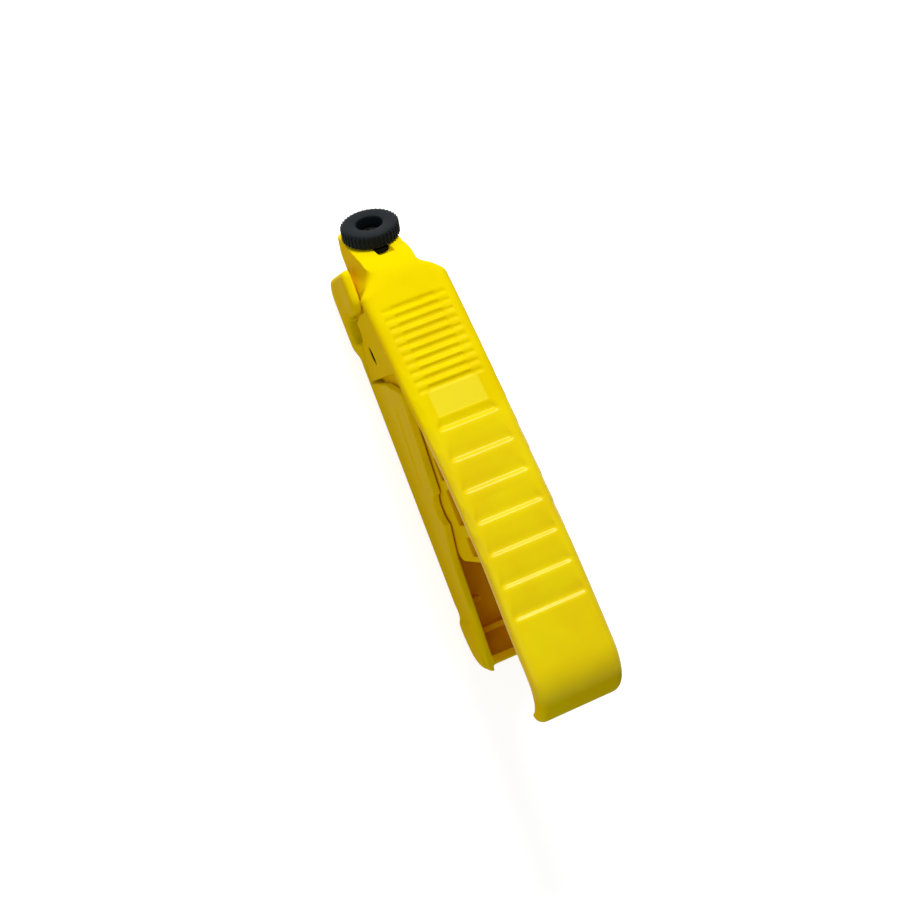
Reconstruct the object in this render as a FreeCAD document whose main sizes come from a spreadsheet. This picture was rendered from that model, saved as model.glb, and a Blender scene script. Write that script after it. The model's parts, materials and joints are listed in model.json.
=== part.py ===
import FreeCAD, Part
import math
import os
import re
import Sketcher
from FreeCAD import Placement, Rotation, Vector

# Cable stripper of the clothes-peg kind, millimetres.
# X runs along the tool towards the head, Y runs along the gripped cable, Z runs from the rear arm to the
# front arm. The origin is the middle of the gripped cable. The jaws are modelled shut.

SIZES = {
    # gripped cable and the jaw faces
    "cable_dia": 5.8,
    "groove_clearance": 0.1,
    "jaw_gap": 0.3,
    "slot_x": -7.3,
    "slot_z": 6.15,
    "slot_length": 5.6,
    "slot_sag": 1.0,
    "slot_tilt": 16.0,
    # thumb pad of the front arm
    "pad_width": 23.7,
    "pad_wall": 3.0,
    "pad_edge": 2.5,
    "pad_corner": 3.6,
    "nose_x": 10.0,
    "nose_z": 20.4,
    "heel_x": -92.0,
    "heel_z": 43.4,
    "face_radius": 470.0,
    "tail_radius": 13.0,
    # fine cross ridges, flat panel and ripples on the pad, measured back from the nose
    "ridge_count": 10,
    "ridge_start": 8.9,
    "ridge_pitch": 2.49,
    "ridge_radius": 1.0,
    "ridge_depth": 0.6,
    "ridge_width": 12.2,
    "ridge_end_depth": 0.3,
    "ridge_end_width": 17.6,
    "panel_start": 31.7,
    "panel_length": 7.4,
    "panel_width": 13.8,
    "panel_depth": 0.3,
    "ripple_count": 7,
    "ripple_start": 42.3,
    "ripple_pitch": 8.26,
    "ripple_ramp": 5.2,
    "ripple_first": 2.4,
    "ripple_step": 0.9,
    "ripple_lip": 0.12,
    "ripple_radius": 20.0,
    "ripple_depth": 0.85,
    "ripple_width": 16.6,
    "ripple_growth": 0.6,
    "ripple_taper": 1.8,
    # head and cheeks of the front arm
    "head_width": 19.2,
    "head_front": 13.0,
    "head_tip": 14.5,
    "head_tip_z": 4.2,
    "brow_foot": 9.5,
    "brow_foot_z": 16.0,
    "cheek_width": 21.6,
    "cheek_reach": 33.5,
    "cheek_back": -13.4,
    "lug_low": -4.55,
    "lug_wall": 2.5,
    "parting_front": -3.6,
    "parting_back": -9.6,
    "core_front": 5.4,
    "core_back": -12.0,
    "core_width": 12.6,
    "core_top": 15.0,
    # inclined neck for the knob
    "neck_lean": 36.0,
    "seat_x": 21.6,
    "seat_z": 7.4,
    "neck_size": 15.0,
    "neck_front": 7.2,
    "neck_rear": 6.5,
    "neck_corner": 1.6,
    "neck_length": 14.0,
    "brow_radius": 14.0,
    "flare_radius": 1.6,
    # skirts of the front arm and their windows
    "skirt_width": 18.0,
    "skirt_wall": 2.0,
    "skirt_end": -64.6,
    "skirt_end_z": 9.0,
    "skirt_corner": 4.0,
    "skirt_mid_z": 5.6,
    "window_cover": 1.0,
    "front_window": -36.8,
    "front_window_length": 5.8,
    "front_window_z": 19.6,
    "middle_window": -45.3,
    "middle_window_length": 9.4,
    "middle_window_z": 20.2,
    "rear_window": -58.0,
    "rear_window_length": 5.0,
    "rear_window_z": 22.4,
    # pivot, pin and spring
    "pivot_x": -30.0,
    "pivot_z": 12.0,
    "pin_dia": 3.0,
    "pin_clearance": 0.03,
    "pin_end_gap": 0.15,
    "socket_depth": 1.2,
    "boss_dia": 7.0,
    "boss_gap": 0.6,
    "spring_wire": 1.4,
    "spring_clearance": 0.5,
    "spring_turns": 4,
    "spring_pitch": 1.6,
    "spring_leg_end": -54.0,
    "spring_leg_gap": 0.3,
    # rear arm
    "rear_wall": 2.0,
    "rear_floor": 2.5,
    "rear_edge": 1.6,
    "back_z": -7.0,
    "skirt_clearance": 0.3,
    "jaw_front": 15.5,
    "jaw_back": -13.8,
    "jaw_chamfer": 3.0,
    "web_width": 16.0,
    "anvil_length": 3.4,
    "anvil_width": 5.2,
    "anvil_gap": 0.1,
    "ear_back": 3.8,
    "short_ear_front": 10.0,
    "ear_top": 12.0,
    "ear_wall": 2.5,
    "ear_gap": 0.3,
    "ear_radius": 4.2,
    "ear_tip": 1.5,
    "wall_front": -15.4,
    "wall_front_z": 10.0,
    "wall_peak": -18.8,
    "wall_peak_z": 21.6,
    "wall_crest": -20.8,
    "wall_dip": -45.8,
    "wall_dip_z": 16.6,
    "scallop_depth": 3.4,
    "wall_rise": -54.0,
    "wall_rise_z": 14.8,
    "wall_low": -63.0,
    "wall_low_z": 9.8,
    "wall_end_z": 5.0,
    "rear_tail": -95.0,
    "rear_tail_radius": 11.0,
    "tail_inset": 1.4,
    "tail_tip": 2.4,
    "tail_lobe": -81.0,
    "tail_lobe_width": 24.6,
    "rib_first": -76.6,
    "rib_second": -85.0,
    "rib_wall": 1.6,
    "rib_height": 5.0,
    "rib_stub": 4.0,
    # stop screw and its landing on the rear jaw
    "screw_dia": 5.8,
    "thread_clearance": 0.05,
    "screw_flats": 4.6,
    "screw_reach": 9.2,
    "screw_above": 0.8,
    "screw_thread": 4.6,
    "flats_clearance": 0.05,
    "tip_dia": 4.0,
    "tip_length": 2.2,
    "tip_gap": 0.05,
    "landing_width": 9.0,
    "landing_half": 2.3,
    "landing_draft": 19.0,
    "pocket_gap": 0.35,
    # depth knob and its key
    "knob_dia": 15.2,
    "knob_height": 3.7,
    "knob_lift": 0.3,
    "knob_bore": 7.0,
    "knob_bore_depth": 3.4,
    "knurl_count": 40,
    "knurl_depth": 0.3,
    "collar_dia": 10.4,
    "collar_length": 3.4,
    "collar_clearance": 0.06,
    "key_groove_dia": 8.4,
    "key_top": 0.5,
    "key_height": 1.3,
    "key_width": 4.0,
    "key_clearance": 0.05,
    "key_bite": 0.7,
    "key_inset": 0.6,
    # blades, their clamp plate and screws
    "blade_wall": 0.6,
    "blade_bevel": 1.2,
    "blade_tip": 0.06,
    "blade_rib": 3.0,
    "strip_width": 6.4,
    "strip_top": 13.4,
    "strip_lift": 0.05,
    "cutoff_width": 6.4,
    "cutoff_edge": 7.25,
    "clamp_wall": 1.0,
    "clamp_low": 8.4,
    "blade_hole_z": 10.6,
    "blade_hole": 2.7,
    "small_screw_dia": 2.5,
    "small_head_dia": 4.4,
    "small_head_height": 1.5,
    "small_screw_grip": 2.6,
    "drive_slot": 0.7,
    # overlap of pieces that are joined into one
    "lap": 1.0,
}

NEAR = 1e-3
SAME_POINT = 1e-6
WIRE_SIDES = 6

doc = FreeCAD.newDocument("cable_stripper")
dims = doc.addObject("Spreadsheet::Sheet", "dims")
for row, (alias, number) in enumerate(SIZES.items(), start=1):
    dims.set("A%d" % row, alias)
    dims.set("B%d" % row, str(number))
    dims.setAlias("B%d" % row, alias)
doc.recompute()


# Formulas name the sheet's cells by their aliases.
def cells(formula):
    def cell(match):
        word = match.group()
        return "dims." + word if word in SIZES else word
    return re.sub(r"[a-z_][a-z_0-9]*", cell, str(formula))


def size(formula):
    number = dims.evalExpression(cells(formula))
    return getattr(number, "Value", number)


def bind(item, **formulas):
    for prop, formula in formulas.items():
        item.setExpression(prop, cells(formula))
    return item


def place(item, x=0, y=0, z=0):
    for axis, formula in (("x", x), ("y", y), ("z", z)):
        item.setExpression("Placement.Base." + axis, cells(formula))
    return item


def box(name, x, y, z):
    """A box between two formulas on each axis."""
    item = doc.addObject("Part::Box", name)
    bind(item, Length="(%s) - (%s)" % (x[1], x[0]), Width="(%s) - (%s)" % (y[1], y[0]),
         Height="(%s) - (%s)" % (z[1], z[0]))
    return place(item, x[0], y[0], z[0])


def cross_cylinder(name, dia, x, z, y):
    """A cylinder along Y between two formulas."""
    item = doc.addObject("Part::Cylinder", name)
    item.Placement.Rotation = Rotation(Vector(1, 0, 0), -90)
    bind(item, Radius="(%s) / 2" % dia, Height="(%s) - (%s)" % (y[1], y[0]))
    return place(item, x, y[0], z)


def fuse(name, *items):
    joined = doc.addObject("Part::MultiFuse", name)
    joined.Shapes = list(items)
    joined.Refine = True
    return joined


def cut(name, base, *tools):
    tool = tools[0] if len(tools) == 1 else fuse(name + "_tools", *tools)
    result = doc.addObject("Part::Cut", name)
    result.Base = base
    result.Tool = tool
    result.Refine = True
    return result


def common(name, first, second):
    shared = doc.addObject("Part::MultiCommon", name)
    shared.Shapes = [first, second]
    return shared


def rounded(name, base, radius, chosen, kind="Part::Fillet"):
    """Fillets or chamfers the edges of base for which chosen(edge) holds."""
    doc.recompute()
    item = doc.addObject(kind, name)
    item.Base = base
    item.Edges = [(number, size(radius), size(radius))
                  for number, edge in enumerate(base.Shape.Edges, start=1) if chosen(edge)]
    return item


def at_y(edge, half):
    """True for an edge that lies in one of the two side faces."""
    return edge.BoundBox.YLength < NEAR and abs(abs(edge.BoundBox.Center.y) - half) < NEAR


def outline(name, placement, corners):
    """A closed sketch. A corner is (x, y) or (x, y, radius): the radius bends the side that follows it,
    to the left of the way round when it is positive."""
    sketch = doc.addObject("Sketcher::SketchObject", name)
    sketch.Placement = placement
    points = [Vector(size(corner[0]), size(corner[1]), 0) for corner in corners]
    sides = []
    for start, end, corner in zip(points, points[1:] + points[:1], corners):
        if len(corner) == 2:
            sides.append((sketch.addGeometry(Part.LineSegment(start, end), False), 1, 2))
            continue
        radius = size(corner[2])
        left = Vector(start.y - end.y, end.x - start.x, 0).normalize()
        reach = math.sqrt(radius ** 2 - ((end - start).Length / 2) ** 2)
        rim = (start + end) / 2 + left * math.copysign(abs(radius) - reach, radius)
        side = sketch.addGeometry(Part.Arc(start, rim, end), False)
        forward = sketch.getPoint(side, 1).distanceToPoint(start) < SAME_POINT
        sides.append((side, 1, 2) if forward else (side, 2, 1))
    for before, after in zip(sides[-1:] + sides[:-1], sides):
        sketch.addConstraint(Sketcher.Constraint("Coincident", before[0], before[2], after[0], after[1]))
    for side, corner, point in zip(sides, corners, points):
        for kind, formula, number in (("DistanceX", corner[0], point.x), ("DistanceY", corner[1], point.y)):
            limit = sketch.addConstraint(Sketcher.Constraint(kind, -1, 1, side[0], side[1], number))
            sketch.setExpression("Constraints[%d]" % limit, cells(formula))
        if len(corner) == 3:
            limit = sketch.addConstraint(Sketcher.Constraint("Radius", side[0], abs(size(corner[2]))))
            sketch.setExpression("Constraints[%d]" % limit, cells("abs(%s)" % corner[2]))
    return sketch


def prism(name, sketch, direction, length):
    """A sketch drawn out by a length, half to each side of its plane."""
    item = doc.addObject("Part::Extrusion", name)
    item.Base = sketch
    item.DirMode = "Custom"
    item.Dir = direction
    item.Solid = True
    item.Symmetric = True
    return bind(item, LengthFwd=length)


LENGTHWISE = Vector(1, 0, 0)
ACROSS = Vector(0, 1, 0)
UPWARDS = Vector(0, 0, 1)
SIDE_VIEW = Placement(Vector(), Rotation(LENGTHWISE, 90))
END_VIEW = Placement(Vector(), Rotation(ACROSS, UPWARDS, LENGTHWISE, "XYZ"))


def side_prism(name, corners, width):
    return prism(name, outline(name + "_outline", SIDE_VIEW, corners), ACROSS, width)


def plan_prism(name, corners, height):
    return prism(name, outline(name + "_outline", Placement(), corners), UPWARDS, height)


# The pad's outer face is one long arc from the nose to the heel, then a tighter arc round the tail.
CHORD = "sqrt((nose_x - heel_x)^2 + (heel_z - nose_z)^2)"
CHORD_ANGLE = "atan((heel_z - nose_z) / (nose_x - heel_x))"
HALF_ANGLE = "asin(%s / (2 * face_radius))" % CHORD
NOSE_ANGLE = "(%s + %s)" % (CHORD_ANGLE, HALF_ANGLE)
HEEL_ANGLE = "(%s - %s)" % (CHORD_ANGLE, HALF_ANGLE)
FACE_X = "(nose_x - face_radius * sin(%s))" % NOSE_ANGLE
FACE_Z = "(nose_z - face_radius * cos(%s))" % NOSE_ANGLE
TAIL_X = "(heel_x - tail_radius * sin(%s))" % HEEL_ANGLE
TAIL_Z = "(heel_z - tail_radius * cos(%s))" % HEEL_ANGLE


def face_height(x, depth):
    """Height at x of the surface that lies the given depth under the pad's face."""
    return "(%s + sqrt((face_radius - (%s))^2 - ((%s) - %s)^2))" % (FACE_Z, depth, x, FACE_X)


def on_face(along, depth=0):
    """Placement at a length along the pad's face from the nose: x to the tail, y outwards, z across."""
    turn = math.radians(90 - size(NOSE_ANGLE)) + along / size("face_radius")
    out = Vector(math.cos(turn), 0, math.sin(turn))
    tailwards = Vector(-out.z, 0, out.x)
    centre = Vector(size(FACE_X), 0, size(FACE_Z))
    return Placement(centre + out * (size("face_radius") - depth),
                     Rotation(tailwards, out, ACROSS, "XYZ"))


# Pieces on the neck use its own frame: z along the knob's axis from the seat, x down the seat.
NECK_TILT = "90 - neck_lean"
NECK_AXIS = Vector(math.cos(math.radians(size("neck_lean"))), 0, math.sin(math.radians(size("neck_lean"))))


def neck_point(along, down):
    return ("(seat_x + (%s) * cos(neck_lean) + (%s) * sin(neck_lean))" % (along, down),
            "(seat_z + (%s) * sin(neck_lean) - (%s) * cos(neck_lean))" % (along, down))


def on_neck(item, along=0, down=0, side=0):
    item.Placement.Rotation = Rotation(ACROSS, size(NECK_TILT))
    x, z = neck_point(along, down)
    return place(item, x, side, z)


def neck_cylinder(name, dia, start, end):
    item = doc.addObject("Part::Cylinder", name)
    bind(item, Radius="(%s) / 2" % dia, Height="(%s) - (%s)" % (end, start))
    return on_neck(item, start)


def neck_box(name, down, width, start, end):
    item = doc.addObject("Part::Box", name)
    bind(item, Length="(%s) - (%s)" % (down[1], down[0]), Width=width, Height="(%s) - (%s)" % (end, start))
    return on_neck(item, start, down[0], "-(%s) / 2" % width)


JAW_TOP = "jaw_gap / 2"
REAR_TOP = "-jaw_gap / 2"
GROOVE_DIA = "(cable_dia + 2 * groove_clearance)"
PIN_HOLE = "(pin_dia + 2 * pin_clearance)"
TROUGH_HALF = "(skirt_width / 2 + skirt_clearance)"
TROUGH_OUTER = "(%s + rear_wall)" % TROUGH_HALF
FLANK = "(head_width / 2 + ear_gap + ear_wall)"
TAIL_CENTRE_X = "(rear_tail + rear_tail_radius)"
TAIL_CENTRE_Z = "(back_z + rear_tail_radius)"
# a cut that leaves the part runs on by the length of the pad
FAR = "(nose_x - heel_x)"
ALL_ALONG = ("-" + FAR, FAR)


def arc_radius(chord, sag):
    """Radius of the arc that rises by the sag over the chord."""
    return "(((%s)^2 / 4 + (%s)^2) / (2 * (%s)))" % (chord, sag, sag)


def cable_groove(name):
    return cross_cylinder(name, GROOVE_DIA, 0, 0, ALL_ALONG)


def build_slim_slot():
    """Lens-shaped opening through both cheeks, for a thin cable under the cutoff blade."""
    along = "slot_length / 2 * cos(slot_tilt)"
    down = "slot_length / 2 * sin(slot_tilt)"
    radius = arc_radius("slot_length", "slot_sag")
    return side_prism("slim_slot", [
        ("slot_x + " + along, "slot_z - " + down, radius),
        ("slot_x - " + along, "slot_z + " + down, radius),
    ], "2 * " + FAR)


def landing_block(name, gap):
    """The raised landing of the stop screw on the rear jaw, or with a gap the pocket round it."""
    along = "-screw_reach - tip_gap + (%s)" % gap
    half = "(landing_half + 2 * (%s))" % gap
    front_x, front_z = neck_point(along, half)
    back_x, back_z = neck_point(along, "-" + half)
    foot = "(%s - lap)" % REAR_TOP
    return side_prism(name, [
        (front_x, front_z),
        (back_x, back_z),
        ("%s - (%s - %s) * tan(landing_draft)" % (back_x, back_z, foot), foot),
        (front_x, foot),
    ], "landing_width + 2 * (%s)" % gap)


def build_pad():
    plate = side_prism("pad_plate", [
        ("nose_x", "nose_z", "-face_radius"),
        ("heel_x", "heel_z", "-tail_radius"),
        (TAIL_X + " - tail_radius", TAIL_Z),
        (TAIL_X + " - tail_radius + pad_wall", TAIL_Z, "tail_radius - pad_wall"),
        ("heel_x - pad_wall * sin(%s)" % HEEL_ANGLE, "heel_z - pad_wall * cos(%s)" % HEEL_ANGLE,
         "face_radius - pad_wall"),
        ("nose_x - pad_wall * sin(%s)" % NOSE_ANGLE, "nose_z - pad_wall * cos(%s)" % NOSE_ANGLE),
    ], "pad_width")
    half = size("pad_width / 2")
    cornered = rounded("pad_cornered", plate, "pad_corner",
                       lambda edge: at_y(edge, half) and edge.Curve.TypeId == "Part::GeomLine")
    face_centre = Vector(size(FACE_X), 0, size(FACE_Z))
    tail_centre = Vector(size(TAIL_X), 0, size(TAIL_Z))

    def outer(edge):
        middle = edge.valueAt((edge.FirstParameter + edge.LastParameter) / 2)
        flat = Vector(middle.x, 0, middle.z)
        on_arc = abs(flat.distanceToPoint(face_centre) - size("face_radius")) < NEAR
        on_tail = abs(flat.distanceToPoint(tail_centre) - size("tail_radius")) < NEAR
        return at_y(edge, half) and (on_arc or on_tail)
    return rounded("pad", cornered, "pad_edge", outer)


def build_ridges():
    """Fine grooves across the front of the pad, each deep in the middle and shallow at its ends."""
    grooves = []
    for number in range(int(size("ridge_count"))):
        along = size("ridge_start") + number * size("ridge_pitch")
        for name, width, depth in (("ridge", "ridge_width", "ridge_depth"),
                                   ("ridge_end", "ridge_end_width", "ridge_end_depth")):
            groove = doc.addObject("Part::Cylinder", "%s_%d" % (name, number))
            bind(groove, Radius="ridge_radius", Height=width)
            seat = on_face(along, size(depth) - size("ridge_radius"))
            seat.Base.y = -size(width) / 2
            groove.Placement = seat
            grooves.append(groove)
    return grooves


def build_panel():
    panel = doc.addObject("Part::Box", "panel")
    bind(panel, Length="panel_length", Width="panel_depth + lap", Height="panel_width")
    seat = on_face(size("panel_start"), size("panel_depth"))
    seat.Base.y = -size("panel_width") / 2
    panel.Placement = seat
    return panel


def build_scoops():
    """Ripples of the pad: ramps that bend down towards the tail, each ended by a step and wider there."""
    scoops = []
    for number in range(int(size("ripple_count"))):
        ramp = "ripple_ramp" if number else "ripple_first"
        start = "ripple_start + %d * ripple_pitch - ripple_step - %s - lap" % (number, ramp)
        end = "lap + %s + ripple_step" % ramp
        seat = on_face(size(start), size("pad_wall"))
        section = outline("scoop_outline_%d" % number, seat, [
            ("lap", "pad_wall - ripple_lip", "ripple_radius"),
            ("lap + " + ramp, "pad_wall - ripple_depth"),
            (end, "pad_wall"),
            (end, "pad_wall + lap"),
            ("lap", "pad_wall + lap"),
        ])
        half = "(ripple_width + %d * ripple_growth) / 2" % number
        plan = outline("scoop_plan_%d" % number, seat * SIDE_VIEW, [
            ("lap", "ripple_taper - " + half),
            (end, "-" + half),
            (end, half),
            ("lap", half + " - ripple_taper"),
        ])
        ramp_block = prism("scoop_ramp_%d" % number, section, ACROSS, "pad_width")
        plan_block = prism("scoop_block_%d" % number, plan, seat.Rotation.multVec(ACROSS), FAR)
        scoops.append(common("scoop_%d" % number, ramp_block, plan_block))
    return scoops


def build_neck():
    half = "neck_size / 2"
    inner = "(neck_size / 2 - neck_corner)"
    section = outline("neck_outline", Placement(), [
        ("neck_rear", "-" + inner, "neck_corner"),
        ("neck_rear - neck_corner", "-" + half),
        ("neck_corner - neck_front", "-" + half, "neck_corner"),
        ("-neck_front", "-" + inner),
        ("-neck_front", inner, "neck_corner"),
        ("neck_corner - neck_front", half),
        ("neck_rear - neck_corner", half, "neck_corner"),
        ("neck_rear", inner),
    ])
    on_neck(section, "-neck_length / 2")
    stem = prism("neck_stem", section, NECK_AXIS, "neck_length")
    under_neck = box("under_neck", ALL_ALONG, ALL_ALONG, ("-" + FAR, JAW_TOP))
    return fuse("neck", cut("neck_trimmed", stem, under_neck), build_brow())


def build_brow():
    """The face of the pad runs on over the brow and bends down to the front of the neck."""
    rim_x, rim_z = neck_point("0", "-neck_front")
    root = "(nose_x - pad_edge - lap)"
    side = side_prism("brow_side", [
        (root, "ear_top + lap"),
        (rim_x, rim_z + " - 2 * pad_wall"),
        (rim_x, rim_z, "-brow_radius"),
        ("nose_x", "nose_z", "-face_radius"),
        (root, face_height(root, "0")),
    ], "pad_width")
    half = "neck_size / 2"
    flared = "(neck_size / 2 + flare_radius)"
    plan = plan_prism("brow_plan", [
        (root, "-" + flared),
        ("nose_x", "-" + flared, "flare_radius"),
        ("nose_x + flare_radius", "-" + half),
        ("seat_x", "-" + half),
        ("seat_x", half),
        ("nose_x + flare_radius", half, "flare_radius"),
        ("nose_x", flared),
        (root, flared),
    ], "2 * " + FAR)
    return common("brow", side, plan)


def build_head():
    head = side_prism("head", [
        ("cheek_back", JAW_TOP),
        ("head_front", JAW_TOP),
        ("head_tip", "head_tip_z"),
        ("brow_foot", "brow_foot_z"),
        ("nose_x - lap", "nose_z - pad_wall / 2"),
        ("cheek_back", face_height("cheek_back", "pad_wall / 2")),
    ], "head_width")
    # the cheeks end in an arc about the pivot, so that they pass the ears of the rear jaw
    reach_x = "(pivot_x + cheek_reach)"
    cheeks = side_prism("cheeks", [
        ("cheek_back", JAW_TOP),
        ("pivot_x + sqrt(cheek_reach^2 - (pivot_z - %s)^2)" % JAW_TOP, JAW_TOP, "-cheek_reach"),
        (reach_x, "pivot_z"),
        (reach_x, face_height(reach_x, "pad_wall / 2")),
        ("cheek_back", face_height("cheek_back", "pad_wall / 2")),
    ], "cheek_width")
    core = box("head_core", ("core_back", "core_front"), ("-core_width / 2", "core_width / 2"),
               (JAW_TOP + " - lap", "core_top"))
    rib = box("blade_rib_wall", ("core_back - lap", "core_front + lap"),
              ("blade_wall / 2", "blade_wall / 2 + blade_rib"), ("clamp_low", "core_top + lap"))
    return fuse("head_shell", cut("head_hollow", fuse("head_block", head, cheeks), core), rib, build_lugs())


def build_lugs():
    """Side plates of the front arm that hang past the jaw faces behind the cable."""
    lugs = side_prism("lugs_block", [
        ("cheek_back", JAW_TOP + " + lap"),
        ("cheek_back", "lug_low"),
        ("parting_back", "lug_low"),
        ("parting_front", JAW_TOP),
        ("parting_front", JAW_TOP + " + lap"),
    ], "cheek_width")
    between = box("between_lugs", ALL_ALONG, ("lug_wall - cheek_width / 2", "cheek_width / 2 - lug_wall"),
                  ALL_ALONG)
    return cut("lugs", lugs, between)


def build_skirts():
    outer = side_prism("skirt_outer", [
        ("cheek_back + lap", JAW_TOP),
        ("cheek_back + lap", face_height("cheek_back + lap", "pad_wall / 2")),
        ("skirt_end", face_height("skirt_end", "pad_wall / 2")),
        ("skirt_end", "skirt_end_z + skirt_corner", "-skirt_corner"),
        ("skirt_end + skirt_corner", "skirt_end_z"),
        ("pivot_x", "skirt_mid_z"),
    ], "skirt_width")
    inner = box("skirt_inner", ("-" + FAR, "cheek_back"),
                ("-skirt_width / 2 + skirt_wall", "skirt_width / 2 - skirt_wall"), ALL_ALONG)
    bosses = cross_cylinder("spring_bosses", "boss_dia", "pivot_x", "pivot_z",
                            ("-skirt_width / 2 + skirt_wall / 2", "skirt_width / 2 - skirt_wall / 2"))
    split = box("boss_split", ALL_ALONG, ("-boss_gap / 2", "boss_gap / 2"), ALL_ALONG)
    return fuse("skirts", cut("skirt_walls", outer, inner), cut("boss_pair", bosses, split))


def build_windows():
    """Openings in the skirts just under the pad."""
    top = "pad_wall + window_cover"
    windows = []
    for name in ("front_window", "middle_window", "rear_window"):
        back = "(%s - %s_length)" % (name, name)
        windows.append(side_prism(name + "_cut", [
            (name, name + "_z"),
            (name, face_height(name, top)),
            (back, face_height(back, top)),
            (back, name + "_z"),
        ], "2 * " + FAR))
    return windows


def screw_shape(name, gap):
    """Stop screw with two flats under its thread, grown by a gap on every side."""
    dia = "(screw_dia + 2 * (%s))" % gap
    thread_end = "(screw_above - screw_thread - (%s))" % gap
    thread = neck_cylinder(name + "_thread", dia, thread_end, "screw_above")
    round_shank = neck_cylinder(name + "_round", dia, "-screw_reach + tip_length", thread_end)
    flats = neck_box(name + "_flats", ALL_ALONG, "screw_flats + 2 * (%s)" % gap, *ALL_ALONG)
    return thread, common(name + "_shank", round_shank, flats)


def build_front_arm():
    pin_hole = cross_cylinder("front_pin_hole", PIN_HOLE, "pivot_x", "pivot_z", ALL_ALONG)
    collar_hole = neck_cylinder("collar_hole", "collar_dia + 2 * collar_clearance",
                                "-collar_length - knob_lift", "lap")
    key_slot = neck_box("key_slot", ("-neck_front - pad_wall", "0"), "key_width + 2 * key_clearance",
                        "-key_top - key_height - key_clearance", "lap")
    screw_way = list(screw_shape("screw_way", "flats_clearance"))
    tip_way = neck_cylinder("tip_way", "screw_dia + 2 * flats_clearance", "-neck_length",
                            "-screw_reach + tip_length")
    pilots = [cross_cylinder("blade_pilot_%d" % number, "small_screw_dia + 2 * thread_clearance", x,
                             "blade_hole_z", ("blade_wall / 2 - lap", "blade_wall / 2 + blade_rib + lap"))
              for number, x in enumerate(("0", "slot_x"))]
    body = fuse("front_body", build_pad(), build_head(), build_skirts(), build_neck())
    return cut("front_arm", body, cable_groove("front_groove"), build_slim_slot(), pin_hole, collar_hole,
               key_slot, tip_way, landing_block("landing_pocket", "pocket_gap"), build_panel(), *screw_way,
               *pilots, *build_windows(), *build_ridges(), *build_scoops())


def build_trough():
    sill = "lug_low - jaw_gap"
    trough_front = "(parting_back + parting_front) / 2"
    rise = "sqrt((wall_dip - wall_rise)^2 + (wall_dip_z - wall_rise_z)^2)"
    trough = side_prism("trough", [
        (trough_front, "back_z"),
        (TAIL_CENTRE_X, "back_z", "rear_tail_radius"),
        ("rear_tail", TAIL_CENTRE_Z),
        ("rear_tail", "wall_end_z"),
        ("wall_low", "wall_low_z"),
        ("wall_rise", "wall_rise_z", "-" + arc_radius(rise, "scallop_depth")),
        ("wall_dip", "wall_dip_z"),
        ("wall_crest", "wall_peak_z"),
        ("wall_peak", "wall_peak_z"),
        ("wall_front", "wall_front_z"),
        ("jaw_back", sill),
        (trough_front, sill),
    ], "2 * " + TROUGH_OUTER)
    lobe = side_prism("tail_lobe_block", [
        ("tail_lobe", "back_z"),
        (TAIL_CENTRE_X, "back_z", "rear_tail_radius"),
        ("rear_tail", TAIL_CENTRE_Z),
        ("rear_tail", "wall_end_z"),
        ("tail_lobe", "wall_end_z"),
    ], "tail_lobe_width")
    inner_end = "rear_tail + tail_inset + rear_floor"
    hollow = side_prism("hollow", [
        ("jaw_back - lap", "back_z + rear_floor"),
        ("jaw_back - lap", REAR_TOP),
        ("jaw_back + lap", REAR_TOP),
        ("jaw_back + lap", FAR),
        (inner_end, FAR),
        (inner_end, TAIL_CENTRE_Z, "rear_floor - rear_tail_radius"),
        (TAIL_CENTRE_X, "back_z + rear_floor"),
    ], "2 * " + TROUGH_HALF)
    # the end wall stands back between the two tips of the tail
    tip_inner = "(tail_lobe_width / 2 - tail_tip)"
    end_notch = box("end_notch", ("-" + FAR, "rear_tail + tail_inset"), ("-" + tip_inner, tip_inner),
                    ALL_ALONG)
    block = fuse("trough_block", round_back("trough_round", trough),
                 round_back("lobe_round", lobe, "Part::Chamfer"))
    return cut("trough_shell", block, hollow, end_notch)


def round_back(name, base, kind="Part::Fillet"):
    """Rounds the long edges where the back meets the sides."""
    doc.recompute()
    low = size("back_z") + NEAR

    def chosen(edge):
        bounds = edge.BoundBox
        return bounds.ZMin < low and bounds.XLength > NEAR and bounds.YLength < bounds.XLength
    return rounded(name, base, "rear_edge", chosen, kind)


def build_jaw():
    """Lower jaw whose sides rise into two ears beside the head, narrowed to the trough behind the cable.
    The ear on the far side is the shorter one."""
    jaw = side_prism("jaw_side", [
        ("parting_back", "back_z"),
        ("parting_back", "lug_low - jaw_gap"),
        ("parting_front", REAR_TOP),
        ("ear_back", REAR_TOP),
        ("ear_back", "ear_top - ear_radius", "ear_radius"),
        ("ear_back + ear_radius", "ear_top"),
        ("jaw_front - ear_tip", "ear_top", "ear_tip"),
        ("jaw_front", "ear_top - ear_tip"),
        ("jaw_front", "back_z + jaw_chamfer"),
        ("jaw_front - jaw_chamfer", "back_z"),
    ], "2 * " + FLANK)
    plan = plan_prism("jaw_plan", [
        ("parting_back", "rear_wall / 2 - " + TROUGH_OUTER),
        ("parting_front", "-" + FLANK),
        ("jaw_front", "-" + FLANK),
        ("jaw_front", FLANK),
        ("parting_front", FLANK),
        ("parting_back", TROUGH_OUTER + " - rear_wall / 2"),
    ], "2 * " + FAR)
    back = round_back("jaw_round", common("jaw", jaw, plan))
    half = size(FLANK)
    top = size(REAR_TOP) + NEAR
    eared = rounded("ears_round", back, "rear_edge",
                    lambda edge: at_y(edge, half) and edge.BoundBox.ZMax > top)
    between = box("between_ears", ALL_ALONG, ("-head_width / 2 - ear_gap", "head_width / 2 + ear_gap"),
                  (REAR_TOP, FAR))
    beyond_short_ear = box("beyond_short_ear", ("short_ear_front", FAR),
                           ("-" + FAR, "-head_width / 2 - ear_gap"), ALL_ALONG)
    return cut("jaw_and_ears", eared, between, beyond_short_ear)


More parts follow.
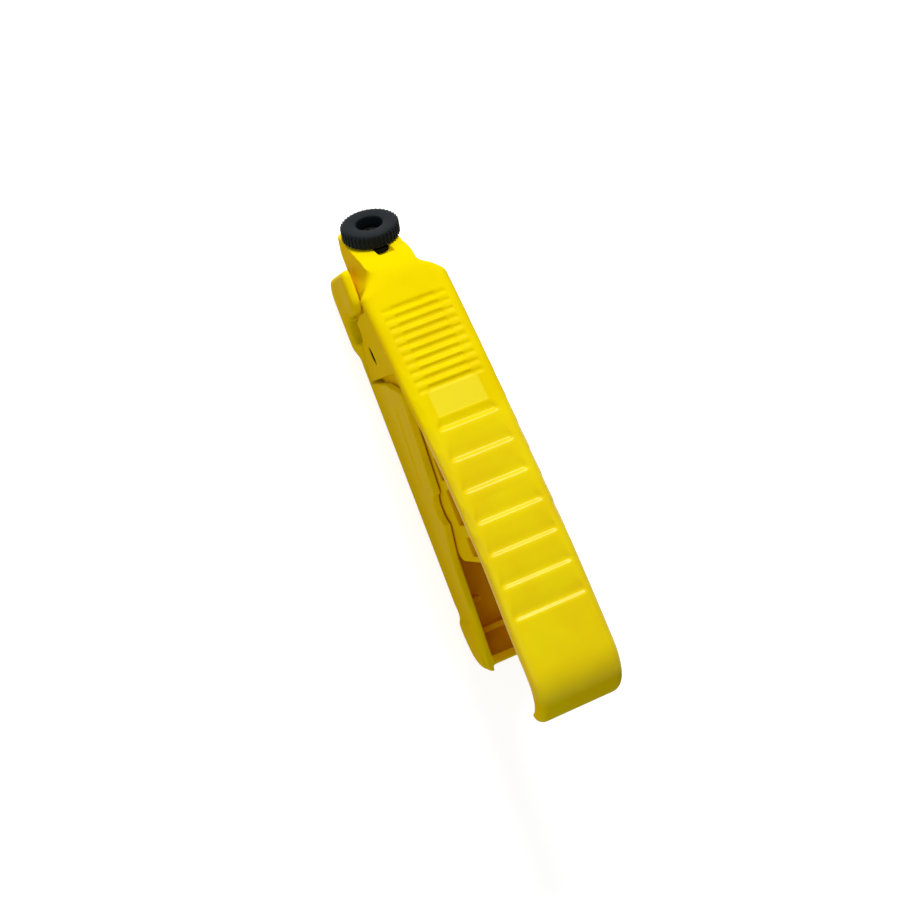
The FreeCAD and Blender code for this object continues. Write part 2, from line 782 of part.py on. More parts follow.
def build_rear_arm():
    web = box("jaw_web", ("jaw_back - lap", "parting_front"), ("-web_width / 2", "web_width / 2"),
              ("back_z + rear_floor / 2", REAR_TOP))
    anvil = box("cutoff_anvil", ("slot_x - anvil_length / 2", "slot_x + anvil_length / 2"),
                ("-anvil_width / 2", "anvil_width / 2"), (REAR_TOP + " - lap", "cutoff_edge - anvil_gap"))
    rib_top = "back_z + rear_floor + rib_height"
    rib_ends = ("-%s - rear_wall / 2" % TROUGH_HALF, "%s + rear_wall / 2" % TROUGH_HALF)
    stubs = box("rib_stubs", ("rib_first - rib_wall / 2", "rib_first + rib_wall / 2"), rib_ends,
                ("back_z + rear_floor / 2", rib_top))
    between_stubs = box("between_stubs", ALL_ALONG,
                        ("rib_stub - " + TROUGH_HALF, TROUGH_HALF + " - rib_stub"), ALL_ALONG)
    rib = box("rear_rib", ("rib_second - rib_wall / 2", "rib_second + rib_wall / 2"), rib_ends,
              ("back_z + rear_floor / 2", rib_top))
    pin_socket = cross_cylinder("pin_socket", PIN_HOLE, "pivot_x", "pivot_z",
                                ("-%s - socket_depth" % TROUGH_HALF, "%s + socket_depth" % TROUGH_HALF))
    body = fuse("rear_body", build_trough(), build_jaw(), web, anvil, landing_block("landing", "0"),
                cut("stub_pair", stubs, between_stubs), rib)
    return cut("rear_arm", body, cable_groove("rear_groove"), pin_socket)


def build_pivot_pin():
    end = "(%s + socket_depth - pin_end_gap)" % TROUGH_HALF
    return cross_cylinder("pivot_pin", "pin_dia", "pivot_x", "pivot_z", ("-" + end, end))


def build_torsion_spring():
    """Coil round the bosses whose legs press on the floor of the trough and the underside of the pad."""
    radius = size("(boss_dia + spring_wire) / 2 + spring_clearance")
    pivot = Vector(size("pivot_x"), 0, size("pivot_z"))
    away = size("spring_wire / 2 + spring_leg_gap")
    pad_end = Vector(size("spring_leg_end"), 0, size(face_height("spring_leg_end", "pad_wall")) - away)
    floor_end = Vector(size("spring_leg_end"), 0, size("back_z + rear_floor") + away)
    angles = []
    legs = []
    for end, side in ((pad_end, -1), (floor_end, 1)):
        arm = end - pivot
        angles.append(math.atan2(arm.z, arm.x) + side * math.acos(radius / arm.Length))
        legs.append(math.sqrt(arm.Length ** 2 - radius ** 2))
    # each half turn is an arc in a tilted plane, level at both its ends
    turn = (angles[0] - angles[1]) % (2 * math.pi) + 2 * math.pi * size("spring_turns - 1")
    halves = int(turn / math.pi)
    first = turn - halves * math.pi
    climb = size("spring_pitch") / 2
    tilted = math.hypot(radius, climb / 2)

    def outward(angle):
        return Vector(math.cos(angle), 0, math.sin(angle))

    def onward(angle):
        return Vector(math.sin(angle), 0, -math.cos(angle))

    def level(number):
        return pivot + ACROSS * (climb * (number - halves / 2))
    joint_angle = angles[1] + halves * math.pi
    joint = level(0) + outward(joint_angle) * radius
    centre = level(-0.5)

    def before_joint(angle):
        return centre + (joint - centre) * math.cos(angle) - onward(joint_angle) * (tilted * math.sin(angle))
    start = before_joint(first)
    way = (joint - centre) * (math.sin(first) / tilted) + onward(joint_angle) * math.cos(first)
    tip = start - way * legs[0]
    path = [Part.LineSegment(tip, start), Part.Arc(start, before_joint(first / 2), joint)]
    for number in range(halves):
        angle = joint_angle - number * math.pi
        end = level(number + 1) - outward(angle) * radius
        path.append(Part.Arc(joint, level(number + 0.5) + onward(angle) * tilted, end))
        joint = end
    path.append(Part.LineSegment(joint, joint + onward(angles[1]) * legs[1]))
    spine = doc.addObject("Part::Feature", "spring_line")
    spine.Shape = Part.Wire([side.toShape() for side in path])
    section = doc.addObject("Part::RegularPolygon", "spring_section")
    section.Polygon = WIRE_SIDES
    bind(section, Circumradius="spring_wire / 2")
    section.Placement = Placement(tip, Rotation(UPWARDS, way))
    spring = doc.addObject("Part::Sweep", "torsion_spring")
    spring.Sections = [section]
    spring.Spine = spine
    spring.Solid = True
    return spring


def build_depth_knob():
    collar = neck_cylinder("knob_collar", "collar_dia", "-collar_length", "knob_lift + lap")
    groove_ends = ("-key_top - key_height - key_clearance", "-key_top + key_clearance")
    groove = cut("key_groove", neck_cylinder("groove_ring", "collar_dia + lap", *groove_ends),
                 neck_cylinder("groove_core", "key_groove_dia", *groove_ends))
    thread = neck_cylinder("knob_thread", "screw_dia + 2 * thread_clearance", *ALL_ALONG)
    well = neck_cylinder("knob_well", "knob_bore", "knob_lift + knob_height - knob_bore_depth", FAR)
    zigzag = []
    for number in range(2 * int(size("knurl_count"))):
        depth = "knurl_depth" if number % 2 else "0"
        angle = "180 * %s / knurl_count" % (number + 0.5)
        far = "(knob_dia / 2 - %s)" % depth
        zigzag.append(("%s * cos(%s)" % (far, angle), "%s * sin(%s)" % (far, angle)))
    knurl = outline("knurl_outline", Placement(), zigzag)
    on_neck(knurl, "knob_lift + knob_height / 2")
    rim = prism("knob_rim", knurl, NECK_AXIS, "knob_height")
    return cut("depth_knob", fuse("knob_blank", rim, collar), groove, thread, well)


def build_knob_key():
    return neck_box("knob_key", ("-neck_front + key_inset", "-collar_dia / 2 + key_bite"), "key_width",
                    "-key_top - key_height", "-key_top")


def build_stop_screw():
    tip = neck_cylinder("screw_tip", "tip_dia", "-screw_reach", "-screw_reach + tip_length")
    slot = neck_box("screw_slot", ALL_ALONG, "drive_slot", "screw_above - drive_slot", FAR)
    return cut("stop_screw", fuse("screw_blank", tip, *screw_shape("screw", "0")), slot)


def build_blade(name, x, width, edge):
    section = outline(name + "_outline", END_VIEW, [
        ("blade_wall / 2", "%s + blade_bevel" % edge),
        ("blade_wall / 2", "strip_top"),
        ("-blade_wall / 2", "strip_top"),
        ("-blade_wall / 2", "%s + blade_bevel" % edge),
        ("-blade_tip / 2", edge),
        ("blade_tip / 2", edge),
    ])
    place(section, x)
    plate = prism(name + "_plate", section, LENGTHWISE, width)
    return cut(name, plate, cross_cylinder(name + "_hole", "blade_hole", x, "blade_hole_z", ALL_ALONG))


def build_blade_clamp():
    plate = box("clamp_plate", ("slot_x - cutoff_width / 2", "strip_width / 2"),
                ("-blade_wall / 2 - clamp_wall", "-blade_wall / 2"), ("clamp_low", "strip_top"))
    holes = [cross_cylinder("clamp_hole_%d" % number, "blade_hole", x, "blade_hole_z", ALL_ALONG)
             for number, x in enumerate(("0", "slot_x"))]
    return cut("blade_clamp", plate, *holes)


def build_blade_screws():
    seat = "-blade_wall / 2 - clamp_wall"
    pieces = []
    for number, x in enumerate(("0", "slot_x")):
        head = cross_cylinder("small_head_%d" % number, "small_head_dia", x, "blade_hole_z",
                              (seat + " - small_head_height", seat))
        slot = box("small_slot_%d" % number, ("%s - drive_slot / 2" % x, "%s + drive_slot / 2" % x),
                   ("-" + FAR, seat + " - small_head_height + drive_slot"), ALL_ALONG)
        shank = cross_cylinder("small_shank_%d" % number, "small_screw_dia", x, "blade_hole_z",
                               (seat, "blade_wall / 2 + small_screw_grip"))
        slotted = cut("small_head_slotted_%d" % number, head, slot)
        pieces.append(fuse("small_screw_%d" % number, slotted, shank))
    return fuse("blade_screws", *pieces)


def main():
    sub_parts = [
        build_rear_arm(),
        build_front_arm(),
        build_pivot_pin(),
        build_torsion_spring(),
        build_depth_knob(),
        build_knob_key(),
        build_stop_screw(),
        build_blade("strip_blade", "0", "strip_width", "(%s / 2 + strip_lift)" % GROOVE_DIA),
        build_blade("cutoff_blade", "slot_x", "cutoff_width", "cutoff_edge"),
        build_blade_clamp(),
        build_blade_screws(),
    ]
    doc.recompute()
    for item in doc.Objects:
        if "Invalid" in item.State or "Error" in item.State:
            raise RuntimeError("%s failed: %s" % (item.Name, item.State))
    for item in sub_parts:
        if item.Shape.isNull() or not item.Shape.isValid():
            raise RuntimeError("%s has no valid shape" % item.Label)
    os.makedirs("parts", exist_ok=True)
    for item in sub_parts:
        item.Shape.exportStep(os.path.join("parts", item.Label + ".step"))


main()
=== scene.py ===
import json
import math

import bmesh
import bpy
import numpy as np
from mathutils import Matrix, Vector


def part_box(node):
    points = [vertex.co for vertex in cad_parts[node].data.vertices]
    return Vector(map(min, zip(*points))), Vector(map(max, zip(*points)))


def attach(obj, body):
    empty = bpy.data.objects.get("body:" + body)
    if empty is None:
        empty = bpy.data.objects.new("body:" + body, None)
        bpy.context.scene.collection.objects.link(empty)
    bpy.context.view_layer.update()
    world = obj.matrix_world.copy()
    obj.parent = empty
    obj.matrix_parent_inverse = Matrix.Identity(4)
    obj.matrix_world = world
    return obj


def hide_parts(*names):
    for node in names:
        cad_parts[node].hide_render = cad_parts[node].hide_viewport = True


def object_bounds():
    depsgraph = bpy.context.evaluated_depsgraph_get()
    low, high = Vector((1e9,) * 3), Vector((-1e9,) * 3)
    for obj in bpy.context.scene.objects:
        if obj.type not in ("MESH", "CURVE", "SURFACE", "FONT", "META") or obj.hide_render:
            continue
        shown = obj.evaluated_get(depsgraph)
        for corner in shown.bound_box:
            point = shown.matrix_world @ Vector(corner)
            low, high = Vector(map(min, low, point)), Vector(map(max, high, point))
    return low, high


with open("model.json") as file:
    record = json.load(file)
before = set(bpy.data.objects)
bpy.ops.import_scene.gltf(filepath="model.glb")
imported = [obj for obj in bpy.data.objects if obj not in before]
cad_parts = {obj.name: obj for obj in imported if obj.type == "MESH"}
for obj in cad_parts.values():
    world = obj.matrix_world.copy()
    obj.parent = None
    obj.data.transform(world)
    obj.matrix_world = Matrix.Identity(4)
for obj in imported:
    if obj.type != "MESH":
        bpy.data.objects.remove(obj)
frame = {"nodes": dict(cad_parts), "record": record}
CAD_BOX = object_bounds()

# Sizes and places are in millimetres, in the frame's axes.
MM = 0.001
JOINTS = {joint["name"]: joint for joint in frame["record"]["behaviour"]["joints"]}
PIVOT = Vector(JOINTS["lever_hinge"]["pos_m"]) / MM
SEAT = Vector(JOINTS["knob_turn"]["pos_m"]) / MM
KNOB_AXIS = -Vector(JOINTS["knob_turn"]["axis"])


# Node trees

# Where a Mix node that mixes colours has its colours and its result.
MIX_COLOURS = (6, 7)
MIX_RESULT = 2


class Value:
    """A socket that joins into Math nodes when it is used in an expression."""

    def __init__(self, tree, socket):
        self.tree = tree
        self.socket = socket

    def _math(self, operation, *operands):
        node = self.tree.nodes.new("ShaderNodeMath")
        node.operation = operation
        for slot, operand in zip(node.inputs, operands):
            if isinstance(operand, Value):
                self.tree.links.new(operand.socket, slot)
            else:
                slot.default_value = operand
        return Value(self.tree, node.outputs[0])

    def __add__(self, other):
        return self._math("ADD", self, other)

    def __radd__(self, other):
        return self._math("ADD", other, self)

    def __sub__(self, other):
        return self._math("SUBTRACT", self, other)

    def __rsub__(self, other):
        return self._math("SUBTRACT", other, self)

    def __mul__(self, other):
        return self._math("MULTIPLY", self, other)

    def __rmul__(self, other):
        return self._math("MULTIPLY", other, self)

    def __truediv__(self, other):
        return self._math("DIVIDE", self, other)

    def __abs__(self):
        return self._math("ABSOLUTE", self)

    def smooth_step(self, low, high):
        part = self.tree.nodes.new("ShaderNodeMapRange")
        part.interpolation_type = "SMOOTHSTEP"
        self.tree.links.new(self.socket, part.inputs["Value"])
        part.inputs["From Min"].default_value = low
        part.inputs["From Max"].default_value = high
        return Value(self.tree, part.outputs["Result"])


class Tree:
    """A node tree with one method for any node."""

    def __init__(self, tree):
        self.tree = tree

    def node(self, kind, settings=(), **sockets):
        node = self.tree.nodes.new(kind)
        for name, value in dict(settings).items():
            setattr(node, name, value)
        self.fill(node, sockets)
        return node

    def fill(self, node, sockets):
        """Sets or links the named inputs of a node."""
        for name, value in sockets.items():
            self.feed(node.inputs[name.replace("_", " ")], value)

    def feed(self, socket, value):
        if isinstance(value, Value):
            value = value.socket
        if isinstance(value, bpy.types.NodeSocket):
            self.tree.links.new(value, socket)
        else:
            socket.default_value = value

    def value(self, socket):
        return Value(self.tree, socket)

    def show(self, output, lighting, shown):
        """Ends in a mix of two shaders. One lights the tool, the other is what is seen: directly, in a
        mirror or through glass."""
        path = self.node("ShaderNodeLightPath").outputs
        rays = [self.value(path[f"Is {kind} Ray"]) for kind in ("Camera", "Glossy", "Transmission")]
        mixed = self.node("ShaderNodeMixShader", Fac=rays[0] + rays[1] + rays[2])
        self.feed(mixed.inputs[1], lighting.outputs[0])
        self.feed(mixed.inputs[2], shown.outputs[0])
        self.feed(self.tree.nodes[output].inputs["Surface"], mixed.outputs[0])


class Finish(Tree):
    """A new material with a Principled shader."""

    def __init__(self, name):
        self.material = bpy.data.materials.new(name)
        self.material.use_nodes = True
        super().__init__(self.material.node_tree)
        self.shader = self.tree.nodes["Principled BSDF"]
        self.place = self.node("ShaderNodeTexCoord").outputs["Object"]

    def axes(self):
        """The three Object coordinates in millimetres."""
        parts = self.node("ShaderNodeSeparateXYZ", Vector=self.place)
        return [self.value(socket) / MM for socket in parts.outputs]

    def sideways(self):
        """How far a face looks to the left or right, from 0 to 1."""
        normal = self.node("ShaderNodeNewGeometry").outputs["Normal"]
        parts = self.node("ShaderNodeSeparateXYZ", Vector=normal)
        return abs(self.value(parts.outputs["Y"]))

    def noise(self, size, detail=3.0, stretch=(1, 1, 1)):
        """Noise with grains of about the given size in millimetres."""
        scale = tuple(axis / (size * MM) for axis in stretch)
        place = self.node("ShaderNodeMapping", Vector=self.place, Scale=scale).outputs[0]
        node = self.node("ShaderNodeTexNoise", Vector=place, Scale=1.0, Detail=detail)
        return self.value(node.outputs["Fac"])

    def mix(self, factor, first, second):
        node = self.node("ShaderNodeMix", {"data_type": "RGBA"}, Factor=factor)
        for number, colour in zip(MIX_COLOURS, (first, second)):
            self.feed(node.inputs[number], colour)
        return node.outputs[MIX_RESULT]

    def bump(self, height, depth, strength):
        """Relief of the given depth in millimetres."""
        node = self.node("ShaderNodeBump", Height=height, Distance=depth * MM, Strength=strength)
        self.set(Normal=node.outputs["Normal"])

    def set(self, **sockets):
        self.fill(self.shader, sockets)


class Growth(Tree):
    """A geometry tree with named inputs, which ends in real instances with a material."""

    def __init__(self, name, **kinds):
        super().__init__(bpy.data.node_groups.new(name, "GeometryNodeTree"))
        sockets = self.tree.interface
        sockets.new_socket("Geometry", in_out="INPUT", socket_type="NodeSocketGeometry")
        self.keys = {label: sockets.new_socket(label, in_out="INPUT", socket_type=kind).identifier
                     for label, kind in kinds.items()}
        sockets.new_socket("Geometry", in_out="OUTPUT", socket_type="NodeSocketGeometry")
        self.inputs = self.tree.nodes.new("NodeGroupInput").outputs

    def end(self, geometry):
        real = self.node("GeometryNodeRealizeInstances", Geometry=geometry)
        painted = self.node("GeometryNodeSetMaterial", Geometry=real.outputs[0],
                            Material=self.inputs["material"])
        self.node("NodeGroupOutput", Geometry=painted.outputs[0])

    def grow(self, data, **values):
        """The tree's result on a mesh or curve, as a plain mesh."""
        holder = bpy.data.objects.new(self.tree.name, data)
        modifier = holder.modifiers.new(self.tree.name, "NODES")
        modifier.node_group = self.tree
        for label, value in values.items():
            modifier[self.keys[label]] = value
        return evaluated(holder)


# Zones of the tool, for the sockets of a material or the corners of a mesh

PAD_NOSE_X = 10.0
PAD_NOSE_Z = 20.4
PAD_TAIL_X = -92.0
PAD_SLOPE = 0.2255
PAD_BOW = 2.9


def rises(value, low, high):
    """0 below low, 1 above high, with soft ends."""
    if isinstance(value, Value):
        return value.smooth_step(low, high)
    part = np.clip((value - low) / (high - low), 0, 1)
    return part * part * (3 - 2 * part)


def falls(value, low, high):
    """1 below low, 0 above high, with soft ends."""
    return 1 - rises(value, low, high)


def pad_depth(x, z):
    """Depth below the pad's outer face, which slopes from the nose to the tail and is bowed."""
    middle = (PAD_NOSE_X + PAD_TAIL_X) / 2
    share = (x - middle) / (PAD_NOSE_X - middle)
    face = PAD_NOSE_Z + PAD_SLOPE * (PAD_NOSE_X - x) + PAD_BOW * (1 - share * share)
    return face - z


# Finishes

YELLOW = (0.93, 0.73, 0.0, 1)
YELLOW_DEEP = (0.90, 0.67, 0.0, 1)
# Paler yellow: matt scuff wear, and a painted highlight on the flat panel.
YELLOW_MATT_AND_LIT = (0.95, 0.80, 0.03, 1)
# Painted shade: faces that look to the left or right are made more orange.
YELLOW_SHADED_FLANK = (0.96, 0.56, 0.0, 1)
# Painted shade inside the arms, between their walls and skirts.
AMBER_SHADE = (0.88, 0.45, 0.0, 1)
# Painted shade: near black inside the slim slot.
SLOT_SHADE = (0.016, 0.010, 0.002, 1)
BLACK = (0.006, 0.009, 0.011, 1)
BLACK_WORN = (0.010, 0.013, 0.015, 1)
FLOOR_PALE = (0.65, 0.65, 0.65, 1)
FLOOR_GREY = (0.62, 0.62, 0.62, 1)
WHITE = (1, 1, 1, 1)

PANEL_X = -23.8
SLOT_X = -7.3
SLOT_Z = 6.15
SLOT_TURN = math.radians(16)
SLOT_HALF_LENGTH = 3.1
SLOT_HALF_WIDTH = 1.3


def shade_under_pad(x, y, z):
    """Between the skirts of the front arm, with the edges of their windows: where the inside gets painted
    shade.
    """
    inside_skirts = falls(abs(y), 8.7, 8.85)
    below_plate = rises(pad_depth(x, z), 2.4, 2.9)
    behind_cheeks = falls(x, -14, -13)
    before_hook = rises(x, -90, -88)
    return inside_skirts * below_plate * behind_cheeks * before_hook


def pad_polish(x, y, z):
    """Gloss of the handled face of the pad, most of it behind the ridges."""
    face = falls(pad_depth(x, z), 2.0, 4.0)
    behind_nose = falls(x, -4, 1)
    behind_ridges = falls(x, -36, -24)
    return face * (0.1 * behind_nose + 0.65 * behind_ridges)


def rim_polish(x, y, z):
    """Gloss of the upper edges of the rear arm."""
    return 0.04 * rises(z, 3, 6)


def shade_in_trough(x, y, z):
    """Between the walls of the rear arm, where the inside gets painted shade."""
    between_walls = falls(abs(y), 9.32, 9.5)
    above_floor = rises(z, -5.4, -5.0)
    behind_jaw = falls(x, -17, -16)
    before_end = rises(x, -93.2, -92.8)
    return between_walls * above_floor * behind_jaw * before_end


def pad_panel(x, y, z):
    """The bare flat panel on the pad, between the fine ridges and the ripples, which is matt and gets a
    painted highlight.
    """
    in_length = falls(abs(x - PANEL_X), 3.4, 3.6)
    in_width = falls(abs(y), 6.7, 6.9)
    on_top = rises(z, 22, 23)
    return in_length * in_width * on_top


def slim_slot(x, y, z):
    """Inside of the lens-shaped slot through the cheeks, which is darkened with painted shade."""
    cos, sin = math.cos(SLOT_TURN), math.sin(SLOT_TURN)
    along = ((x - SLOT_X) * cos - (z - SLOT_Z) * sin) / SLOT_HALF_LENGTH
    across = ((x - SLOT_X) * sin + (z - SLOT_Z) * cos) / SLOT_HALF_WIDTH
    in_lens = falls(along * along + across * across, 0.9, 1.1)
    inside_cheeks = falls(abs(y), 10.55, 10.75)
    return in_lens * inside_cheeks


def yellow_plastic(name, shade_inside, polish, matt_and_lit=None, slot_painted_shade=None):
    """Moulded plastic with faint flow marks. Zones tell where painted shade turns it amber, where it is
    polished, where it is matt with a painted highlight, and where painted shade darkens the slot; sideways
    faces get painted shade too.
    """
    finish = Finish(name)
    place = finish.axes()
    cloud = finish.noise(size=12, detail=2)
    flow = finish.noise(size=30, stretch=(0.4, 1, 1))
    skin = finish.noise(size=0.9, detail=2)
    scuffs = rises(finish.noise(size=1.4, detail=4, stretch=(0.12, 1, 1)), 0.6, 0.74)
    colour = finish.mix(rises(cloud, 0.35, 0.7), YELLOW, YELLOW_DEEP)
    colour = finish.mix(0.06 * scuffs, colour, YELLOW_MATT_AND_LIT)
    # Painted shade: faces that look sideways turn more orange.
    colour = finish.mix(0.6 * rises(finish.sideways(), 0.55, 0.95), colour, YELLOW_SHADED_FLANK)
    # Painted shade: the insides of the arms turn amber.
    colour = finish.mix(0.9 * shade_inside(*place), colour, AMBER_SHADE)
    rough = 0.41 + 0.14 * flow + 0.12 * scuffs
    height = skin
    if matt_and_lit:
        zone = matt_and_lit(*place)
        grain = finish.noise(size=0.25, detail=2)
        # The panel's paler colour is a painted highlight; its grain and roughness are its matt finish.
        colour = finish.mix(0.7 * zone, colour, YELLOW_MATT_AND_LIT)
        rough = rough + 0.2 * zone
        height = skin * (1 - zone) + grain * zone
    if slot_painted_shade:
        # Painted shade darkens the inside of the slim slot.
        colour = finish.mix(slot_painted_shade(*place), colour, SLOT_SHADE)
    finish.set(Base_Color=colour, Roughness=rough, IOR=1.03)
    finish.set(Coat_Weight=polish(*place), Coat_IOR=1.25, Coat_Roughness=0.22)
    finish.bump(height, depth=0.03, strength=0.25)
    return finish.material


def black_plastic():
    finish = Finish("black_plastic")
    cloud = finish.noise(size=4)
    grain = finish.noise(size=0.25, detail=2)
    finish.set(Base_Color=finish.mix(cloud, BLACK, BLACK_WORN), Roughness=0.45 + 0.15 * grain, IOR=1.15)
    finish.bump(grain, depth=0.03, strength=0.4)
    return finish.material


def steel(name, light, dark, brushed, rough):
    """Brushed steel between two greys. The brush marks are finest along the axis with the largest number."""
    finish = Finish(name)
    brush = finish.noise(size=0.5, detail=4, stretch=brushed)
    cloud = finish.noise(size=3)
    colour = finish.mix(0.6 * brush + 0.4 * cloud, dark, light)
    finish.set(Base_Color=colour, Metallic=1.0, Roughness=rough + 0.16 * brush)
    finish.bump(brush, depth=0.01, strength=0.5)
    return finish.material


def stage_white():
    """Pale floor that looks white where no shadow falls on it."""
    finish = Finish("stage_white")
    colour = finish.mix(finish.noise(size=90), FLOOR_GREY, FLOOR_PALE)
    chalk = {"Base_Color": colour, "Roughness": 0.9, "IOR": 1.1}
    finish.set(**chalk)
    lit = finish.node("ShaderNodeBsdfPrincipled", Emission_Color=WHITE, Emission_Strength=0.75, **chalk)
    finish.show("Material Output", finish.shader, lit)
    return finish.material


# Meshes and pieces

def evaluated(holder):
    """The geometry of an object after its modifiers, as a plain mesh. The object goes."""
    bpy.context.scene.collection.objects.link(holder)
    result = bpy.data.meshes.new_from_object(holder.evaluated_get(bpy.context.evaluated_depsgraph_get()))
    bpy.data.objects.remove(holder)
    return result


def modified(mesh, kind, **settings):
    holder = bpy.data.objects.new(mesh.name, mesh)
    modifier = holder.modifiers.new(kind.lower(), kind)
    for name, value in settings.items():
        setattr(modifier, name, value)
    return evaluated(holder)


def corners(mesh):
    """The places of a mesh's corners, one row each."""
    place = np.empty(3 * len(mesh.vertices), dtype=np.float32)
    mesh.vertices.foreach_get("co", place)
    return place.reshape(-1, 3).astype(float) / MM


def put_corners(mesh, place):
    mesh.vertices.foreach_set("co", (place * MM).astype(np.float32).ravel())
    mesh.update()


def neighbours(mesh):
    """Both ends of each edge, once in each order."""
    ends = np.empty(2 * len(mesh.edges), dtype=np.int32)
    mesh.edges.foreach_get("vertices", ends)
    ends = ends.reshape(-1, 2)
    return np.concatenate((ends, ends[:, ::-1])).T


def add_piece(name, mesh, body, slot, material, *nodes):
    """Links a finished mesh, which rides on a body and stands for the given nodes."""
    mesh.name = name
    mesh.shade_smooth()
    mesh.materials.clear()
    mesh.materials.append(material)
    piece = bpy.data.objects.new(name, mesh)
    bpy.context.scene.collection.objects.link(piece)
    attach(piece, body)
    if nodes:
        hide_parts(*nodes)
    return piece


def paint(node, material):
    mesh = frame["nodes"][node].data
    mesh.materials.clear()
    mesh.materials.append(material)


# Moulded arms

WELD = 0.002
NET = 0.25
THINNING = 0.26
EDGE_PASSES = 7

# Pulls: the share of the way to its neighbours' mean that a corner moves in one pass.
EDGE_PULL = 0.4
RIDGE_PULL = 0.08
FULL_PULL = 0.5
LEAST_PULL = 0.001

NECK_INSET = 1.5
WAIST_SHARE = 0.2
WAIST_FROM_Y = 8.6
BAND_DEPTH = 0.25
BAND_LOW = (-26.8, 9.5)
BAND_LOW_SLOPE = 0.204
WALL_TOP = (-20.8, 21.6)
WALL_TOP_SLOPE = 0.2


def from_seat(x, y, z):
    """Height over the knob's seat, and distance from the knob's axis."""
    along = (x - SEAT.x) * KNOB_AXIS.x + (z - SEAT.z) * KNOB_AXIS.z
    down = (x - SEAT.x) * KNOB_AXIS.z - (z - SEAT.z) * KNOB_AXIS.x
    return along, np.hypot(down, y)


def line_through(point, slope, x):
    """Height at x of the line through a point (x, z)."""
    return point[1] + slope * (x - point[0])


def all_over(x, y, z):
    """Every edge, the fine ridges less."""
    among_ridges = falls(x, 1.5, 2.5) * rises(x, -25, -24)
    skin = falls(pad_depth(x, z), 1.2, 1.6)
    off_edge = falls(abs(y), 9.0, 9.6)
    return EDGE_PULL + (RIDGE_PULL - EDGE_PULL) * among_ridges * skin * off_edge


def brow_and_neck(x, y, z):
    """The outside of the neck and the brow above it, away from the knob's seat."""
    along, out = from_seat(x, y, z)
    off_seat = rises(out, 5.8, 6.6) * falls(along, -1.6, -0.2)
    neck = rises(x, 8.5, 10.0) * rises(z, 3, 6)
    brow = rises(x, 6.0, 9.0) * rises(z, 14, 17)
    return FULL_PULL * off_seat * np.maximum(neck, brow)


def left_of_neck(x, y, z):
    """The left side of the neck and brow, which is the roundest."""
    return brow_and_neck(x, y, z) * rises(y, 2.5, 5.0)


def ripples(x, y, z):
    """Outer skin of the pad behind the flat panel."""
    behind_panel = falls(x, -29, -27)
    skin = falls(pad_depth(x, z), 1.6, 2.2)
    off_edge = falls(abs(y), 10.2, 11.0)
    return FULL_PULL * behind_panel * skin * off_edge


def ears(x, y, z):
    """The outer edges of the ears beside the jaws."""
    return FULL_PULL * rises(abs(y), 9.9, 10.6) * rises(x, -9, -6)


def lobes(x, y, z):
    """Where the swellings at the tail of the rear arm begin."""
    near_tail = falls(x, -79, -76) * rises(x, -91, -87)
    return FULL_PULL * near_tail * rises(abs(y), 10.0, 10.7)


# Zones that are softened more than the other edges, each with its number of passes.
FRONT_SOFTER = ((brow_and_neck, 90), (left_of_neck, 200), (ripples, 20))
REAR_SOFTER = ((ears, 45), (lobes, 60))


def front_inset(x, y, z):
    """How far the neck's right side, outside the knob's collar, and the pad's left edge are drawn in."""
    off_collar = rises(from_seat(x, y, z)[1], 5.5, 7.2)
    neck = NECK_INSET * falls(y, -6, -2.5) * off_collar * rises(x, 10.0, 11.2)
    above_windows = falls(x, -42, -18) * rises(x, -86, -62)
    pad_edge = falls(pad_depth(x, z), 4, 6)
    waist = WAIST_SHARE * above_windows * pad_edge * np.maximum(y - WAIST_FROM_Y, 0)
    return neck + waist


def side_band(x, y, z):
    """Depth of the long shallow band along the top of the rear arm's walls."""
    over_low = rises(z - line_through(BAND_LOW, BAND_LOW_SLOPE, x), 0, 1)
    below_top = rises(line_through(WALL_TOP, WALL_TOP_SLOPE, x) - z, 1.6, 2.6)
    in_length = falls(x, -22.0, -21.4) * rises(x, -44.6, -44.0)
    outside = rises(abs(y), 11.1, 11.25)
    return BAND_DEPTH * over_low * below_top * in_length * outside


def sink(mesh, inset):
    """Moves the side faces inwards by an inset that depends on the place."""
    place = corners(mesh)
    place[:, 1] -= np.sign(place[:, 1]) * inset(*place.T)
    put_corners(mesh, place)


def soften(mesh, zone, passes):
    """Draws each corner towards the mean of its neighbours, pass after pass, as far as the zone says."""
    place = corners(mesh)
    count = len(place)
    here, there = neighbours(mesh)
    pull = zone(*place.T)
    moves = pull[here] > LEAST_PULL
    here, there = here[moves], there[moves]
    links = np.bincount(here, minlength=count)
    share = pull / np.maximum(links, 1)
    for _ in range(passes):
        for axis in place.T:
            axis += share * (np.bincount(here, axis[there], count) - links * axis)
    put_corners(mesh, place)


def build_shell(name, node, body, material, inset, softer):
    """A moulded arm: the solid on an even fine net, its edges soft all over and softer where told."""
    bm = bmesh.new()
    bm.from_mesh(frame["nodes"][node].data)
    bmesh.ops.remove_doubles(bm, verts=bm.verts, dist=WELD * MM)
    solid = bpy.data.meshes.new(name)
    bm.to_mesh(solid)
    bm.free()
    net = modified(solid, "REMESH", mode="VOXEL", voxel_size=NET * MM)
    sink(net, inset)
    soften(net, all_over, EDGE_PASSES)
    for zone, passes in softer:
        soften(net, zone, passes)
    mesh = modified(net, "DECIMATE", ratio=THINNING)
    add_piece(name, mesh, body, "yellow_shell", material, node)


# Knob: its section is made of points (radius, height over the seat)

